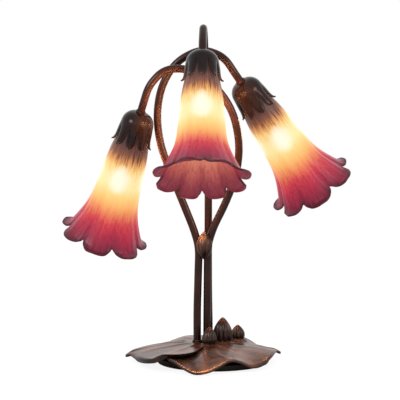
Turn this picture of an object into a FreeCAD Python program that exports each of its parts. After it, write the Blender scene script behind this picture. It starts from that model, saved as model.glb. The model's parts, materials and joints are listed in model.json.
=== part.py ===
import FreeCAD, Part
import math
import os

import Sketcher
from FreeCAD import Placement, Rotation, Vector

# Three-light lily table lamp: a cast lily-pad foot, three bent tubes tied by a bud, and three
# tulip glass shades, each held in a slit petal calyx with its socket and bulb.
# Frame: +X right and +Y away as seen from the front, +Z up, origin at the centre of the foot's face.

doc = FreeCAD.newDocument("tulip_shade_lamp")
sheet = doc.addObject("Spreadsheet::Sheet", "sizes")

SIZES = {
    # weighted foot under the leaf
    "foot_radius": 68.0,
    "foot_top_radius": 45.0,
    "foot_side_height": 6.5,
    "foot_top_height": 14.5,
    "foot_top_bend": 60.0,
    "foot_wall": 2.7,
    "felt_thickness": 1.5,
    "plate_thickness": 1.5,
    "ballast_width": 15.3,
    "ballast_margin": 3.0,
    "ballast_height": 4.0,
    # cast leaf
    "leaf_thickness": 2.8,
    "leaf_hub_height": 19.6,
    "leaf_boss_radius": 24.0,
    "leaf_boss_height": 6.0,
    "leaf_center_x": -11.0,
    "leaf_hub_x": -10.0,
    "leaf_hub_y": 26.0,
    "leaf_vein_height": 0.7,
    # bent tubes
    "tube_diameter": 9.5,
    "tube_wall": 0.8,
    "tube_gap": 0.2,
    "nipple_radius": 3.7,
    "nipple_bore": 2.6,
    "nipple_engagement": 11.0,
    "foot_nut_flats": 10.2,
    "foot_nut_height": 3.4,
    "washer_thickness": 0.8,
    "washer_radius": 5.9,
    "collar_radius": 6.0,
    "collar_height": 2.6,
    # petal calyx
    "calyx_wall": 1.2,
    "calyx_shoulder_radius": 19.7,
    "calyx_shoulder_depth": 13.0,
    "calyx_waist_radius": 21.1,
    "calyx_waist_depth": 27.0,
    "calyx_mouth_radius": 23.0,
    "calyx_mouth_depth": 36.0,
    "calyx_tip_radius": 26.6,
    "calyx_depth": 43.0,
    "calyx_petals": 9,
    "calyx_dome_bend": 13.9,
    "calyx_belly_bend": 60.0,
    "calyx_throat_bend": 45.0,
    "calyx_flick_bend": 9.0,
    "slit_start_depth": 17.0,
    "slit_width": 0.8,
    "slit_end_depth": 31.0,
    "slit_end_width": 3.6,
    # socket and its ring
    "socket_radius": 12.0,
    "socket_top_depth": 1.6,
    "socket_floor_depth": 12.0,
    "socket_depth": 33.0,
    "socket_bore_radius": 7.4,
    "socket_crown": 4.0,
    "shell_radius": 7.1,
    "shell_wall": 0.5,
    "shell_lip": 2.2,
    "contact_radius": 3.2,
    "contact_stem_radius": 1.2,
    "contact_height": 2.2,
    "contact_sink": 2.5,
    "ring_outer_radius": 14.6,
    "ring_bore_gap": 0.3,
    "ring_height": 5.0,
    "ring_grip_step": 1.2,
    # tulip glass
    "glass_wall": 2.6,
    "glass_top_depth": 9.6,
    "glass_lip_bore": 13.3,
    "glass_neck_depth": 50.0,
    "glass_length": 172.0,
    "glass_rim_radius": 48.5,
    "glass_lobes": 7,
    "glass_ruffle": 3.8,
    "glass_ruffle_lift": 3.6,
    # bulb
    "cap_radius": 5.9,
    "cap_length": 19.0,
    "cap_wall": 0.5,
    "cap_button_radius": 2.2,
    "cap_end_height": 3.0,
    "bulb_radius": 11.0,
    "bulb_wall": 0.8,
    "bulb_length": 62.0,
    "bulb_side_bend": 70.0,
    "bulb_tip_bend": 38.0,
    "mount_radius": 4.4,
    "pillar_radius": 1.6,
    "pillar_height": 20.0,
    "lead_radius": 0.35,
    "lead_length": 16.0,
    "coil_radius": 0.7,
    "coil_length": 8.4,
    # buds and cord outlet
    "bud_height": 29.0,
    "bud_radius": 11.6,
    "small_bud_height": 20.5,
    "small_bud_radius": 8.8,
    "rear_bud_height": 17.0,
    "rear_bud_radius": 8.6,
    "tie_bud_radius": 10.2,
    "tie_bud_height": 35.5,
    "inlet_bore_radius": 3.6,
    "inlet_length": 8.0,
    "inlet_wall": 1.2,
    "inlet_flange": 1.4,
    # screws and wiring
    "screw_radius": 1.5,
    "screw_head_radius": 2.8,
    "wire_radius": 1.2,
    "block_length": 26.0,
    "block_width": 12.0,
    "block_height": 6.0,
    "clearance": 0.3,
}

for row, (alias, amount) in enumerate(SIZES.items(), start=1):
    sheet.set(f"A{row}", alias)
    sheet.set(f"B{row}", str(amount))
    sheet.setAlias(f"B{row}", alias)
doc.recompute()


class Size:
    """A length with its number in mm and the sheet expression that gives it."""

    def __init__(self, number, text):
        self.number = number
        self.text = text

    def __add__(self, other):
        other = as_size(other)
        return Size(self.number + other.number, f"({self.text} + {other.text})")

    def __sub__(self, other):
        other = as_size(other)
        return Size(self.number - other.number, f"({self.text} - {other.text})")

    def __mul__(self, factor):
        factor = as_size(factor)
        return Size(self.number * factor.number, f"({self.text} * {factor.text})")

    def __neg__(self):
        return Size(-self.number, f"(0 - {self.text})")


def as_size(value):
    """A bare number becomes a constant of the expression."""
    if isinstance(value, Size):
        return value
    return Size(float(value), repr(float(value)))


def cell(alias):
    """The sheet's cell as a length."""
    return Size(float(sheet.get(alias)), f"sizes.{alias}")


def mm(alias):
    """The sheet's cell as a plain number."""
    return float(sheet.get(alias))


# ---------------------------------------------------------------- sketches and turned pieces


def new_sketch(body, role, name):
    """An empty sketch on one of the body's own origin planes."""
    plane = next(item for item in body.Origin.OriginFeatures if item.Role == role)
    sketch = body.newObject("Sketcher::SketchObject", name)
    sketch.AttachmentSupport = [(plane, "")]
    sketch.MapMode = "FlatFace"
    return sketch


def arc_between(start, end, radius, turn):
    """A minor arc from start to end; turn is 1 to the left and -1 to the right of the travel.

    An arc whose centre lies past the axis would turn into a torus that crosses itself, so it is
    drawn as the same arc in spline form.
    """
    chord = end - start
    half = chord.Length / 2
    rise = math.sqrt(max(radius**2 - half**2, 0.0))
    normal = Vector(-chord.y, chord.x, 0).normalize()
    middle = (start + end) * 0.5
    center = middle + normal * (rise * turn)
    if center.x < 0.5 < start.x + end.x:
        half_angle = math.asin(half / radius)
        corner = middle - normal * (half * math.tan(half_angle) * turn)
        spline = Part.BSplineCurve()
        weights = [1.0, math.cos(half_angle), 1.0]
        spline.buildFromPolesMultsKnots([start, corner, end], [3, 3], [0, 1], False, 2, weights)
        return spline
    first, last = (start, end) if turn > 0 else (end, start)
    first_angle = math.atan2(first.y - center.y, first.x - center.x)
    last_angle = math.atan2(last.y - center.y, last.x - center.x)
    circle = Part.Circle(center, Vector(0, 0, 1), radius)
    return Part.ArcOfCircle(circle, first_angle, last_angle)


def place_point(sketch, edge, end, axis_kind, axis, length):
    """Fixes one coordinate of a corner, by the sheet's expression."""
    if length.number == 0:
        sketch.addConstraint(Sketcher.Constraint("PointOnObject", edge, end, axis))
        return
    index = sketch.addConstraint(Sketcher.Constraint(axis_kind, -1, 1, edge, end, length.number))
    sketch.setExpression(f"Constraints[{index}]", length.text)


def draw_outline(sketch, corners):
    """A closed outline. A corner is (x, y), or (x, y, radius, turn) where an arc arrives at it."""
    points = [Vector(corner[0].number, corner[1].number, 0) for corner in corners]
    ends = []
    for number, start in enumerate(points):
        following = (number + 1) % len(points)
        if len(corners[following]) > 2:
            radius, turn = corners[following][2:]
            bow = arc_between(start, points[following], radius.number, turn)
            edge = sketch.addGeometry(bow)
            if isinstance(bow, Part.BSplineCurve):
                ends.append((edge, 1, 2))
                continue
            index = sketch.addConstraint(Sketcher.Constraint("Radius", edge, radius.number))
            sketch.setExpression(f"Constraints[{index}]", radius.text)
            ends.append((edge, 1, 2) if turn > 0 else (edge, 2, 1))
        else:
            edge = sketch.addGeometry(Part.LineSegment(start, points[following]))
            ends.append((edge, 1, 2))
    for number, (edge, first, last) in enumerate(ends):
        next_edge, next_first, _ = ends[(number + 1) % len(ends)]
        sketch.addConstraint(Sketcher.Constraint("Coincident", edge, last, next_edge, next_first))
        place_point(sketch, edge, first, "DistanceX", -2, corners[number][0])
        place_point(sketch, edge, first, "DistanceY", -1, corners[number][1])


def sized(corners):
    """Every number of an outline as a length, leaving the turn of an arc as it is."""
    return [tuple(as_size(v) for v in corner[:3]) + tuple(corner[3:]) for corner in corners]


def turned(label, corners, place=None):
    """A body of revolution about its own Z axis; corners are (radius, height)."""
    body = doc.addObject("PartDesign::Body", label)
    body.Label = label
    sketch = new_sketch(body, "XZ_Plane", f"{label}_profile")
    draw_outline(sketch, sized(corners))
    feature = body.newObject("PartDesign::Revolution", f"{label}_turn")
    feature.Profile = sketch
    feature.ReferenceAxis = (sketch, ["V_Axis"])
    feature.Angle = 360
    sketch.Visibility = False
    body.Placement = place or Placement()
    return body


def ring_outline(inner, outer, low, high):
    """The four corners of a plain ring's section."""
    return [(inner, low), (outer, low), (outer, high), (inner, high)]


def custom(label, shape, place=None):
    """A sub-part whose form has no feature of its own."""
    feature = doc.addObject("Part::Feature", label)
    feature.Label = label
    feature.Shape = shape
    feature.Placement = place or Placement()
    return feature


def boolean(kind, label, base, tools):
    """A named cut or fusion of document objects."""
    if kind == "Part::Cut":
        feature = doc.addObject(kind, label)
        feature.Base = base
        feature.Tool = tools[0]
    else:
        feature = doc.addObject(kind, label)
        feature.Shapes = [base] + tools
    feature.Label = label
    return feature


def group(label, members):
    """Like pieces that share one node, as separate solids."""
    feature = doc.addObject("Part::Compound", label)
    feature.Label = label
    feature.Links = members
    return feature


def cylinder(label, radius, height, place):
    """A cylinder whose sizes stay bound to the sheet."""
    feature = doc.addObject("Part::Cylinder", label)
    feature.Label = label
    feature.setExpression("Radius", radius.text)
    feature.setExpression("Height", height.text)
    feature.Placement = place
    return feature


def at(x, y, z):
    """An upright placement."""
    return Placement(Vector(x, y, z), Rotation())


# ---------------------------------------------------------------- free-form skins


def knots_for(count, wraps):
    """Uniform cubic knots and their multiplicities."""
    if wraps:
        return list(range(count + 1)), [1] * (count + 1)
    return list(range(count - 2)), [4] + [1] * (count - 4) + [4]


def skin(sections, wraps):
    """A cubic surface over closed sections; wraps says whether the last section meets the first."""
    around = len(sections[0])
    poles = [[section[number] for section in sections] for number in range(around)]
    section_knots, section_counts = knots_for(around, True)
    run_knots, run_counts = knots_for(len(sections), wraps)
    surface = Part.BSplineSurface()
    surface.buildFromPolesMultsKnots(
        poles, section_counts, run_counts, section_knots, run_knots, True, wraps, 3, 3
    )
    return surface


def solid_of(faces):
    """A closed solid of faces, with its walls facing outwards."""
    shell = Part.Shell(faces)
    if len(faces) > 1:
        shell.sewShape()
    solid = Part.Solid(shell)
    if solid.Volume < 0:
        solid.reverse()
    return solid


def smooth_step(share):
    """A share from 0 to 1 eased at both ends."""
    share = min(max(share, 0.0), 1.0)
    return share * share * (3 - 2 * share)


# ---------------------------------------------------------------- lights

# Each light hangs from the end of its tube: the top of its calyx, and the way its mouth points.
LIGHTS = {
    "left": (Vector(-87.6, 3.7, 302.3), Vector(-0.286, 0.334, -0.897)),
    "right": (Vector(34.0, 23.3, 340.1), Vector(0.546, 0.362, -0.754)),
    "center": (Vector(-12.9, -28.9, 372.2), Vector(-0.010, -0.446, -0.895)),
}


def light_place(light):
    """Turns a piece drawn along +Z to hang from its tube's end."""
    top, way = LIGHTS[light]
    return Placement(top, Rotation(Vector(0, 0, 1), way))


gap = cell("clearance")
tube_radius = cell("tube_diameter") * 0.5
wall = cell("calyx_wall")


def make_calyx(light):
    """A spun dome slit into petals, whose tips flick out over the glass."""
    hole = cell("nipple_radius") + cell("tube_gap")
    dome, belly = cell("calyx_dome_bend"), cell("calyx_belly_bend")
    throat, flick = cell("calyx_throat_bend"), cell("calyx_flick_bend")
    corners = [
        (hole, 0),
        (tube_radius + 1.0, 0),
        (cell("calyx_shoulder_radius"), cell("calyx_shoulder_depth"), dome, 1),
        (cell("calyx_waist_radius"), cell("calyx_waist_depth"), belly, 1),
        (cell("calyx_mouth_radius"), cell("calyx_mouth_depth"), throat, -1),
        (cell("calyx_tip_radius"), cell("calyx_depth"), flick, -1),
        (cell("calyx_tip_radius") - wall * 0.6, cell("calyx_depth") + wall * 0.5),
        (cell("calyx_mouth_radius") - wall, cell("calyx_mouth_depth") + wall * 0.4, flick, 1),
        (cell("calyx_waist_radius") - wall, cell("calyx_waist_depth"), throat, 1),
        (cell("calyx_shoulder_radius") - wall, cell("calyx_shoulder_depth"), belly, -1),
        (tube_radius + 1.0, wall, dome - wall, -1),
        (hole, wall),
    ]
    name = f"calyx_{light}"
    body = turned(name, corners)
    slit = new_sketch(body, "XZ_Plane", f"{name}_slit")
    start, end = cell("slit_start_depth"), cell("slit_end_depth")
    narrow, wide = cell("slit_width") * 0.5, cell("slit_end_width") * 0.5
    half_pitch = cell("calyx_tip_radius") * (0.96 * math.sin(math.pi / mm("calyx_petals")))
    tip = cell("calyx_depth") + 2.0
    petal_bend = (tip - end) * 1.1
    draw_outline(
        slit,
        sized(
            [
                (-narrow, start),
                (narrow, start),
                (wide, end),
                (half_pitch, tip, petal_bend, -1),
                (-half_pitch, tip),
                (-wide, end, petal_bend, -1),
            ]
        ),
    )
    doc.recompute()
    pocket = body.newObject("PartDesign::Pocket", f"{name}_pocket")
    pocket.Profile = slit
    pocket.Type = "Length"
    pocket.setExpression("Length", "sizes.calyx_tip_radius + 5")
    doc.recompute()
    pattern = body.newObject("PartDesign::PolarPattern", f"{name}_petals")
    pattern.Originals = [pocket]
    axis = next(item for item in body.Origin.OriginFeatures if item.Role == "Z_Axis")
    pattern.Axis = (axis, [""])
    pattern.Angle = 360
    pattern.setExpression("Occurrences", "sizes.calyx_petals")
    body.Tip = pattern
    body.Placement = light_place(light)
    return body


def make_socket(light):
    """The moulded socket, its brass screw shell, centre contact and the ring that holds the glass."""
    place = light_place(light)
    top, floor = cell("socket_top_depth"), cell("socket_floor_depth")
    radius, bore = cell("socket_radius"), cell("socket_bore_radius")
    hole = cell("nipple_radius") + cell("tube_gap")
    shell, lip = cell("shell_radius"), cell("shell_radius") - cell("shell_lip")
    shell_bore = shell - cell("shell_wall")
    crown = cell("socket_crown")
    turned(
        f"socket_body_{light}",
        [
            (hole, top),
            (radius - crown, top),
            (radius, top + crown, crown, 1),
            (radius, cell("socket_depth")),
            (bore, cell("socket_depth")),
            (bore, floor),
            (hole, floor),
        ],
        place,
    )
    turned(
        f"socket_shell_{light}",
        [
            (lip, floor + gap),
            (shell, floor + gap),
            (shell, cell("socket_depth") - 1.0),
            (shell_bore, cell("socket_depth") - 1.0),
            (shell_bore, floor + gap + cell("shell_wall")),
            (lip, floor + gap + cell("shell_wall")),
        ],
        place,
    )
    stem, disc = cell("contact_stem_radius"), cell("contact_radius")
    contact_low, contact_top = floor - cell("contact_sink"), floor + cell("contact_height")
    turned(
        f"socket_contact_{light}",
        [
            (0, contact_low),
            (stem, contact_low),
            (stem, floor + gap),
            (disc, floor + gap),
            (disc, floor + 1.0),
            (stem, contact_top),
            (0, contact_top),
        ],
        place,
    )
    low = cell("glass_top_depth") + cell("glass_wall") + gap
    ring_bore, ring_outer = radius + cell("ring_bore_gap"), cell("ring_outer_radius")
    step = cell("ring_grip_step")
    turned(
        f"shade_ring_{light}",
        [
            (ring_bore, low),
            (ring_outer - gap, low),
            (ring_outer, low + gap * 2.0),
            (ring_outer, low + step),
            (ring_outer - step, low + step * 2.0),
            (ring_outer - step, low + cell("ring_height")),
            (ring_bore, low + cell("ring_height")),
        ],
        place,
    )


def make_bulb(light):
    """A candelabra screw cap, a slim blown envelope and the filament on its glass stem."""
    place = light_place(light)
    floor = cell("socket_floor_depth")
    cap_start = floor + cell("contact_height") + gap
    cap_end = cap_start + cell("cap_length")
    cap, cap_wall, button = cell("cap_radius"), cell("cap_wall"), cell("cap_button_radius")
    end_height = cell("cap_end_height")
    turned(
        f"bulb_cap_{light}",
        [
            (0, cap_start),
            (button, cap_start),
            (button + 1.0, cap_start + end_height * 0.5),
            (cap, cap_start + end_height),
            (cap, cap_end),
            (cap - cap_wall, cap_end),
            (cap - cap_wall, cap_start + end_height + cap_wall),
            (0, cap_start + end_height + cap_wall),
        ],
        place,
    )
    neck = cap + 0.6
    mount = cell("mount_radius")
    shoulder = cap_end + gap
    radius, skin_wall = cell("bulb_radius"), cell("bulb_wall")
    side_bend, tip_bend = cell("bulb_side_bend"), cell("bulb_tip_bend")
    widest = shoulder + cell("bulb_length") * 0.55
    tip = shoulder + cell("bulb_length")
    turned(
        f"bulb_glass_{light}",
        [
            (mount + 0.1, shoulder),
            (neck, shoulder),
            (radius, widest, side_bend, 1),
            (0, tip, tip_bend, 1),
            (0, tip - skin_wall),
            (radius - skin_wall, widest, tip_bend - skin_wall, -1),
            (neck - skin_wall, shoulder + skin_wall, side_bend - skin_wall, -1),
            (mount + 0.1, shoulder + skin_wall),
        ],
        place,
    )
    pillar_radius, pillar_top = cell("pillar_radius"), shoulder + cell("pillar_height")
    flare = cell("pillar_height") * 0.45
    pillar = turned(
        f"bulb_mount_{light}",
        [
            (0, shoulder),
            (mount, shoulder),
            (mount, shoulder + skin_wall),
            (pillar_radius, shoulder + flare, flare * 1.55, -1),
            (pillar_radius, pillar_top),
            (0, pillar_top),
        ],
    )
    lead_foot = pillar_top.number - 1.0
    lead_slope = 0.2
    leads = []
    for side in (-1, 1):
        slope = Rotation(Vector(0, 0, 1), Vector(side * lead_slope, 0, 1))
        lead = cylinder(
            f"filament_lead_{light}_{'near' if side < 0 else 'far'}",
            cell("lead_radius"),
            cell("lead_length"),
            Placement(Vector(side * 1.0, 0, lead_foot), slope),
        )
        leads.append(lead)
    coil_level = lead_foot + mm("lead_length") * math.cos(math.atan(lead_slope)) - mm("lead_radius")
    coil = cylinder(
        f"filament_coil_{light}",
        cell("coil_radius"),
        cell("coil_length"),
        Placement(
            Vector(-mm("coil_length") / 2, 0, coil_level),
            Rotation(Vector(0, 0, 1), Vector(1, 0, 0)),
        ),
    )
    filament = boolean("Part::MultiFuse", f"bulb_filament_{light}", pillar, leads + [coil])
    filament.Placement = place


RUFFLE_START = 0.38


def shade_section(theta):
    """The closed wall section of the tulip glass at one angle: out along the outside, back inside."""
    neck = mm("glass_neck_depth")
    length = mm("glass_length")
    rim = mm("glass_rim_radius")
    thick = mm("glass_wall")
    top = mm("glass_top_depth")
    flare = length - neck
    lip_bore = mm("glass_lip_bore")
    # outer radius along the axis: a slim throat that opens to the lobed mouth
    outside = [
        (top + 0.2, 15.0),
        (top + 2.0, 17.7),
        (top + 12.0, 18.4),
        (top + 25.0, 19.8),
        (neck, 23.6),
        (neck + 0.22 * flare, 26.6),
        (neck + 0.44 * flare, 28.2),
        (neck + 0.60 * flare, 30.2),
        (neck + 0.73 * flare, 33.6),
        (neck + 0.86 * flare, 0.82 * rim),
        (neck + 0.95 * flare, 0.94 * rim),
        (neck + 1.00 * flare, 1.04 * rim),
    ]
    petal = 2 * abs(math.cos(mm("glass_lobes") * theta / 2)) ** 0.8 - 1
    outer, inner = [], []
    for depth, radius in outside:
        share = smooth_step((depth - neck - RUFFLE_START * flare) / ((1 - RUFFLE_START) * flare))
        ruffled = radius + mm("glass_ruffle") * share * petal
        raised = depth - mm("glass_ruffle_lift") * share * (1 - petal)
        outer.append((ruffled, raised))
        inner.append((ruffled - thick * (1 - 0.25 * share), raised + thick * 0.9 * share))
    inner[0] = (lip_bore, top + 0.2)
    inner[1] = (lip_bore, top + thick)
    inner.insert(2, (outer[1][0] - thick - 0.2, top + thick))
    inner.insert(3, (outer[1][0] - thick + 0.6, top + thick + 1.0))
    outline = outer + inner[::-1]
    return [Vector(r * math.cos(theta), r * math.sin(theta), w) for r, w in outline]


# How far round from the front the middle of one petal of each shade's mouth stands.
PETAL_TURNS = {"left": 1.8, "right": 4.0, "center": 20.7}


def make_shade(light):
    """Tulip glass whose mouth is pinched into petals."""
    steps = 8 * int(mm("glass_lobes"))
    sections = [shade_section(2 * math.pi * step / steps) for step in range(steps)]
    glass = solid_of([skin(sections, True).toShape()])
    place = light_place(light)
    front = place.Rotation.inverted().multVec(Vector(0, -1, 0))
    turn = math.degrees(math.atan2(front.y, front.x)) + PETAL_TURNS[light]
    return custom(f"shade_glass_{light}", glass, place * Placement(Vector(), Rotation(turn, 0, 0)))


# ---------------------------------------------------------------- bent tubes

# Corners of each tube's bends, from its foot on the leaf to its light. The last straight stretch
# is worked out from the light.
TUBE_ROUTES = {
    "right": [
        (-19.3, 21.0, 60.0),
        (-18.2, 20.0, 100.0),
        (-17.1, 19.0, 138.0),
        (-23.5, 19.0, 160.0),
        (-38.5, 19.5, 197.0),
        (-53.0, 20.5, 232.0),
        (-64.8, 21.5, 264.0),
        (-69.2, 21.5, 300.0),
        (-63.0, 19.5, 336.0),
        (-44.5, 17.0, 365.5),
        (-13.0, 14.0, 380.0),
        (13.5, 15.5, 370.0),
    ],
    "left": [
        (-7.0, 22.5, 60.0),
        (-6.6, 20.0, 100.0),
        (-6.4, 19.0, 140.0),
        (0.5, 18.5, 162.0),
        (17.0, 17.0, 195.0),
        (29.5, 14.5, 230.0),
        (32.6, 11.5, 265.0),
        (24.5, 8.0, 304.0),
        (3.0, 4.5, 335.0),
        (-28.0, 0.5, 355.0),
        (-59.0, -3.5, 354.5),
        (-77.5, -3.2, 334.0),
    ],
    "center": [
        (-5.4, 31.5, 80.0),
        (-5.7, 29.2, 140.0),
        (-5.4, 28.0, 220.0),
        (-7.2, 27.0, 300.0),
        (-9.8, 26.0, 372.0),
        (-10.8, 19.5, 395.5),
        (-11.8, 0.5, 407.0),
    ],
}
FEET = {"right": (-19.3, 21.0), "left": (-7.2, 24.5), "center": (-4.6, 37.5)}
BEND_SHARE = 0.485
END_STRAIGHT = 14.0
FOOT_STRAIGHT = 20.0


def tube_corners(light):
    """The foot, the chosen corners and the light's end of a tube."""
    top, way = LIGHTS[light]
    x, y = FEET[light]
    foot = Vector(x, y, boss_top)
    stub = foot + Vector(0, 0, FOOT_STRAIGHT)
    corners = [Vector(*point) for point in TUBE_ROUTES[light]]
    return [foot, stub] + corners + [top - way * END_STRAIGHT, top]


def bent_path(corners):
    """Straight runs joined by tangent arcs, as a tube bender leaves them."""
    edges = []
    here = corners[0]
    for before, corner, after in zip(corners, corners[1:], corners[2:]):
        toward, away = (before - corner), (after - corner)
        turn = math.pi - toward.getAngle(away)
        if turn < 1e-4:
            continue
        reach = BEND_SHARE * min(toward.Length, away.Length)
        start = corner + toward.normalize() * reach
        end = corner + away.normalize() * reach
        bisector = (toward + away).normalize()
        radius = reach / math.tan(turn / 2)
        middle = corner + bisector * (radius / math.cos(turn / 2) - radius)
        edges.append(Part.LineSegment(here, start).toShape())
        edges.append(Part.Arc(start, middle, end).toShape())
        here = end
    edges.append(Part.LineSegment(here, corners[-1]).toShape())
    return Part.Wire(edges)


def swept(corners, radius):
    """A round bar along a bent path."""
    path = bent_path(corners)
    way = corners[1] - corners[0]
    circle = Part.Wire([Part.makeCircle(radius, corners[0], way)])
    return path.makePipeShell([circle], True, False)


def make_tube(light):
    """A thin-walled bent tube."""
    corners = tube_corners(light)
    outer = swept(corners, tube_radius.number)
    inner = swept(corners, tube_radius.number - mm("tube_wall"))
    return custom(f"stem_{light}", outer.cut(inner))


boss_top = mm("foot_top_height") + mm("leaf_boss_height")

for light in LIGHTS:
    make_calyx(light)
    make_socket(light)
    make_bulb(light)
    make_shade(light)
    make_tube(light)

# ---------------------------------------------------------------- collars, nipples, nuts

nipple, bore = cell("nipple_radius"), cell("nipple_bore")
hole = nipple + cell("tube_gap")
engagement = cell("nipple_engagement")
collar_outline = [
    (tube_radius + gap * 0.5, 0),
    (cell("collar_radius"), 0),
    (cell("collar_radius"), cell("collar_height") - 0.6),
    (cell("collar_radius") - 0.6, cell("collar_height")),
    (tube_radius + gap * 0.5, cell("collar_height")),
]
top_height = cell("foot_top_height")
nut_height, washer = cell("foot_nut_height"), cell("washer_thickness")
under_top = top_height - cell("foot_wall")
foot_place = {light: at(x, y, 0) for light, (x, y) in FEET.items()}

neck_collars, neck_nipples, foot_collars = [], [], []
foot_nipples, foot_washers, foot_nuts = [], [], []
for light in LIGHTS:
    flipped = light_place(light) * Placement(Vector(0, 0, 0), Rotation(Vector(1, 0, 0), 180))
    neck_collars.append(turned(f"neck_collar_{light}", collar_outline, flipped))
    neck_nipples.append(
        turned(
            f"neck_nipple_{light}",
            ring_outline(bore, nipple, -engagement, cell("socket_floor_depth") - 4.0),
            light_place(light),
        )
    )
    collar = turned(f"foot_collar_{light}", collar_outline)
    collar.Placement = foot_place[light] * at(0, 0, boss_top)
    foot_collars.append(collar)
    foot_nipples.append(
        turned(
            f"foot_nipple_{light}",
            ring_outline(
                bore,
                nipple,
                under_top - washer - nut_height - 0.2,
                top_height + cell("leaf_boss_height") + engagement,
            ),
            foot_place[light],
        )
    )
    foot_washers.append(
        turned(
            f"foot_washer_{light}",
            ring_outline(hole, cell("washer_radius"), under_top - washer, under_top),
            foot_place[light],
        )
    )
    prism = doc.addObject("Part::Prism", f"foot_nut_blank_{light}")
    prism.Polygon = 6
    prism.setExpression("Circumradius", "sizes.foot_nut_flats / sqrt(3)")
    prism.setExpression("Height", "sizes.foot_nut_height")
    prism.Placement = at(*FEET[light], (under_top - washer - nut_height).number)
    drill = cylinder(
        f"foot_nut_drill_{light}",
        hole,
        nut_height + 2.0,
        at(*FEET[light], (under_top - washer - nut_height - 1.0).number),
    )
    foot_nuts.append(boolean("Part::Cut", f"foot_nut_{light}", prism, [drill]))

# ---------------------------------------------------------------- foot

felt = cell("felt_thickness")
plate_top = felt + cell("plate_thickness")
foot_wall, foot_radius = cell("foot_wall"), cell("foot_radius")
side, top_radius, bend = cell("foot_side_height"), cell("foot_top_radius"), cell("foot_top_bend")
drum_blank = turned(
    "foot_drum_blank",
    [
        (0, top_height - foot_wall),
        (top_radius, top_height - foot_wall),
        (foot_radius - foot_wall, side - 0.6, bend - 4.0, -1),
        (foot_radius - foot_wall, felt),
        (foot_radius, felt),
        (foot_radius, side),
        (top_radius, top_height, bend, 1),
        (0, top_height),
    ],
)
drum_drills = [
    cylinder(f"drum_drill_{light}", hole, foot_wall + 4.0, at(*FEET[light], top_height.number - 5.0))
    for light in LIGHTS
]
inlet_radius = cell("inlet_bore_radius") + cell("inlet_wall")
inlet_height = mm("felt_thickness") + inlet_radius.number + mm("clearance")
flange_start = cell("foot_wall") + 1.5
flange = cell("inlet_flange")
back = Rotation(Vector(0, 0, 1), Vector(0, 1, 0))
inlet_start = mm("foot_radius") - mm("foot_wall")
inlet_drill = cylinder(
    "inlet_drill",
    inlet_radius + cell("tube_gap"),
    cell("inlet_length") + 6.0,
    Placement(Vector(0, inlet_start - 3.0, inlet_height), back),
)
drum_tools = boolean("Part::MultiFuse", "drum_tools", inlet_drill, drum_drills)
boolean("Part::Cut", "foot_drum", drum_blank, [drum_tools])

turned(
    "cord_bushing",
    [
        (cell("inlet_bore_radius"), 0),
        (inlet_radius, 0),
        (inlet_radius, flange_start),
        (inlet_radius + flange, flange_start),
        (inlet_radius + flange * 0.6, cell("inlet_length")),
        (cell("inlet_bore_radius"), cell("inlet_length")),
    ],
    Placement(Vector(0, inlet_start, inlet_height), back),
)
ballast_outer = foot_radius - foot_wall - cell("ballast_margin")
ballast_inner = ballast_outer - cell("ballast_width")
screw_circle = (ballast_inner.number + (foot_radius - foot_wall).number) / 2
SCREW_ANGLES = (30, 150, 270)
screw_spots = [
    Vector(screw_circle * math.cos(math.radians(a)), screw_circle * math.sin(math.radians(a)), 0)
    for a in SCREW_ANGLES
]
screw_radius, head_radius = cell("screw_radius"), cell("screw_head_radius")
turned("felt_pad", ring_outline(0, foot_radius - 1.0, 0, felt))
plate_blank = turned(
    "base_plate_blank", ring_outline(0, foot_radius - foot_wall - gap, felt, plate_top)
)
ballast_blank = turned(
    "ballast_ring_blank",
    ring_outline(
        ballast_inner,
        ballast_outer,
        plate_top,
        plate_top + cell("ballast_height"),
    ),
)
screws, plate_drills, ballast_drills = [], [], []
for number, spot in enumerate(screw_spots, start=1):
    screws.append(
        turned(
            f"base_screw_{number}",
            [
                (0, felt + 0.1),
                (head_radius, felt + 0.1),
                (screw_radius, plate_top - 0.2),
                (screw_radius, plate_top + cell("ballast_height") - 0.5),
                (0, plate_top + cell("ballast_height") - 0.5),
            ],
            at(spot.x, spot.y, 0),
        )
    )
    plate_drills.append(
        turned(
            f"plate_sink_{number}",
            [
                (0, felt - 1.0),
                (head_radius + 0.2, felt - 1.0),
                (head_radius + 0.2, felt + 0.1),
                (screw_radius + 0.2, plate_top - 0.2),
                (screw_radius + 0.2, plate_top + 1.0),
                (0, plate_top + 1.0),
            ],
            at(spot.x, spot.y, 0),
        )
    )
    ballast_drills.append(
        cylinder(
            f"ballast_drill_{number}",
            screw_radius + 0.1,
            cell("ballast_height") + 2.0,
            at(spot.x, spot.y, plate_top.number - 1.0),
        )
    )
plate_tools = boolean("Part::MultiFuse", "plate_tools", plate_drills[0], plate_drills[1:])
ballast_tools = boolean("Part::MultiFuse", "ballast_tools", ballast_drills[0], ballast_drills[1:])
boolean("Part::Cut", "base_plate", plate_blank, [plate_tools])
boolean("Part::Cut", "ballast_ring", ballast_blank, [ballast_tools])

# ---------------------------------------------------------------- cast leaf

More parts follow.
